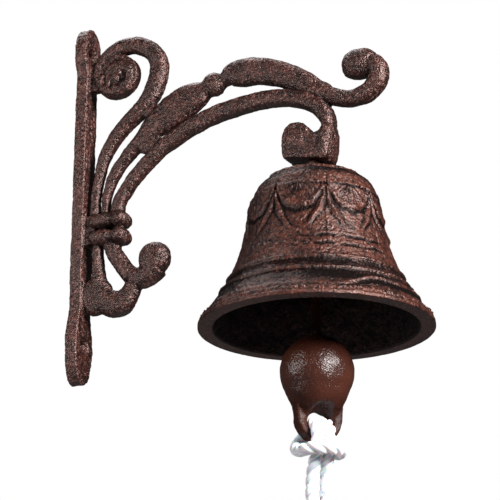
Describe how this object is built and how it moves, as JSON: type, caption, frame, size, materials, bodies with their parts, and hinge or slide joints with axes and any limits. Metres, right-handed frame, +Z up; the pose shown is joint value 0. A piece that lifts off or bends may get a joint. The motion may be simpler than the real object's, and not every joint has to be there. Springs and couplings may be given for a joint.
{
  "type": "wall mounted bell",
  "caption": "Cast iron bell hanging under a scrolled wall bracket, with a swinging clapper and a doubled cotton pull rope.",
  "frame": {"origin": "centre of the wall plate's back face", "axes": "+X out from the wall, +Z up, the bracket and the bell's axis in the plane Y = 0"},
  "size_m": [0.2016, 0.12, 0.4487],
  "materials": {
    "bracket_iron": "rough sand cast iron, dark brown antique finish",
    "bell_iron": "sand cast iron, red brown antique finish",
    "clapper_iron": "glossy brown paint on cast iron",
    "plated_steel": "zinc plated",
    "cotton_rope": "twisted white cotton"
  },
  "bodies": {
    "bracket": {"wall_plate": "bracket_iron", "collar_upper": "bracket_iron", "collar_lower": "bracket_iron", "upper_scroll": "bracket_iron", "scroll_disc": "bracket_iron", "leaf_arm": "bracket_iron", "tip_scroll": "bracket_iron", "hanger_arm": "bracket_iron", "hanger_block": "bracket_iron", "lower_bow": "bracket_iron", "lower_brace": "bracket_iron", "tail_scroll": "bracket_iron", "crown_washer": "bracket_iron", "bell_shell": "bell_iron", "eye_bolt": "plated_steel", "crown_nut": "plated_steel"},
    "link": {"clapper_link": "plated_steel"},
    "clapper": {"clapper": "clapper_iron", "rope_hitch": "cotton_rope", "rope_left": "cotton_rope", "rope_right": "cotton_rope", "rope_knot": "cotton_rope", "rope_end_left": "cotton_rope", "rope_end_right": "cotton_rope"}
  },
  "joints": [
    {"name": "link_sway", "type": "hinge", "parent": "bracket", "child": "link", "pos_m": [0.1416, 0, -0.031], "axis": [1, 0, 0], "range_deg": [-8, 8]},
    {"name": "clapper_swing", "type": "hinge", "parent": "link", "child": "clapper", "pos_m": [0.1416, 0, -0.03795], "axis": [0, 1, 0], "range_deg": [-29, 25]}
  ]
}
